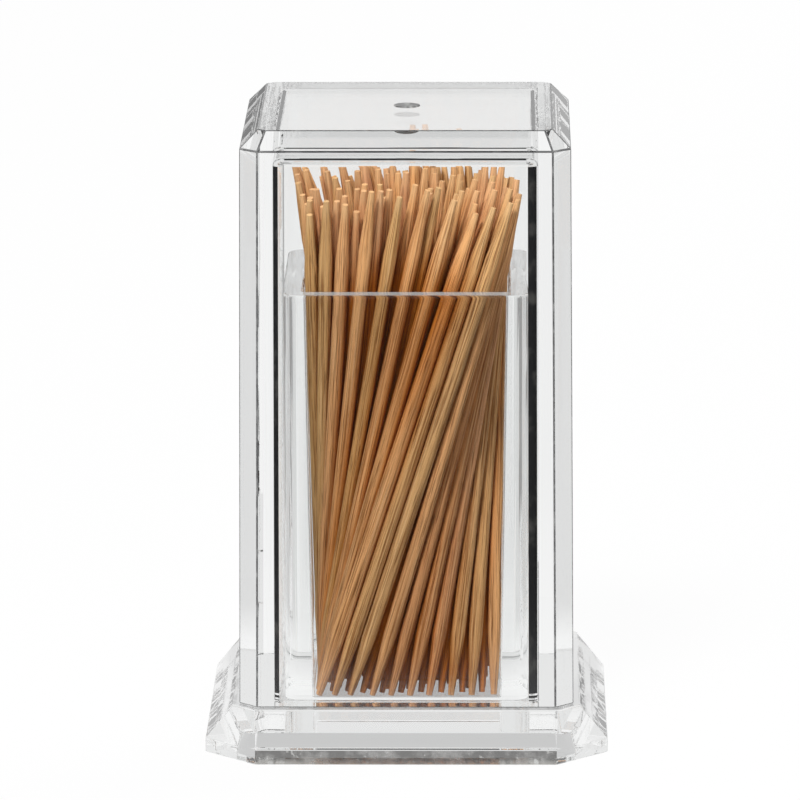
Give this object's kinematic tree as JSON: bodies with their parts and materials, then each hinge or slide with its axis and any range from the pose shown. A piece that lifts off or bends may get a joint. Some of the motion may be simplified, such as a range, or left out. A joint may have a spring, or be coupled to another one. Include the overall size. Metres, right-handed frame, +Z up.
{
  "type": "toothpick holder",
  "caption": "Clear square toothpick holder: a base with an upright cup full of wooden toothpicks, under a thick clear cover with bevelled edges that lifts off.",
  "frame": {"origin": "on the surface it stands on, under the middle of the base", "axes": "+Z up, the way the cover lifts; +X and +Y square to the base's sides"},
  "size_m": [0.0512, 0.0512, 0.0803],
  "materials": {
    "clear_base": "clear, polished",
    "clear_cover": "clear, polished",
    "toothpick_wood": "bare, fine grain"
  },
  "bodies": {
    "holder": {"base": "clear_base", "toothpicks": "toothpick_wood"},
    "lid": {"cover": "clear_cover"}
  },
  "joints": [
    {"name": "cover_lift", "type": "slide", "parent": "holder", "child": "lid", "axis": [0, 0, 1], "range_m": [0, 0.08]}
  ]
}
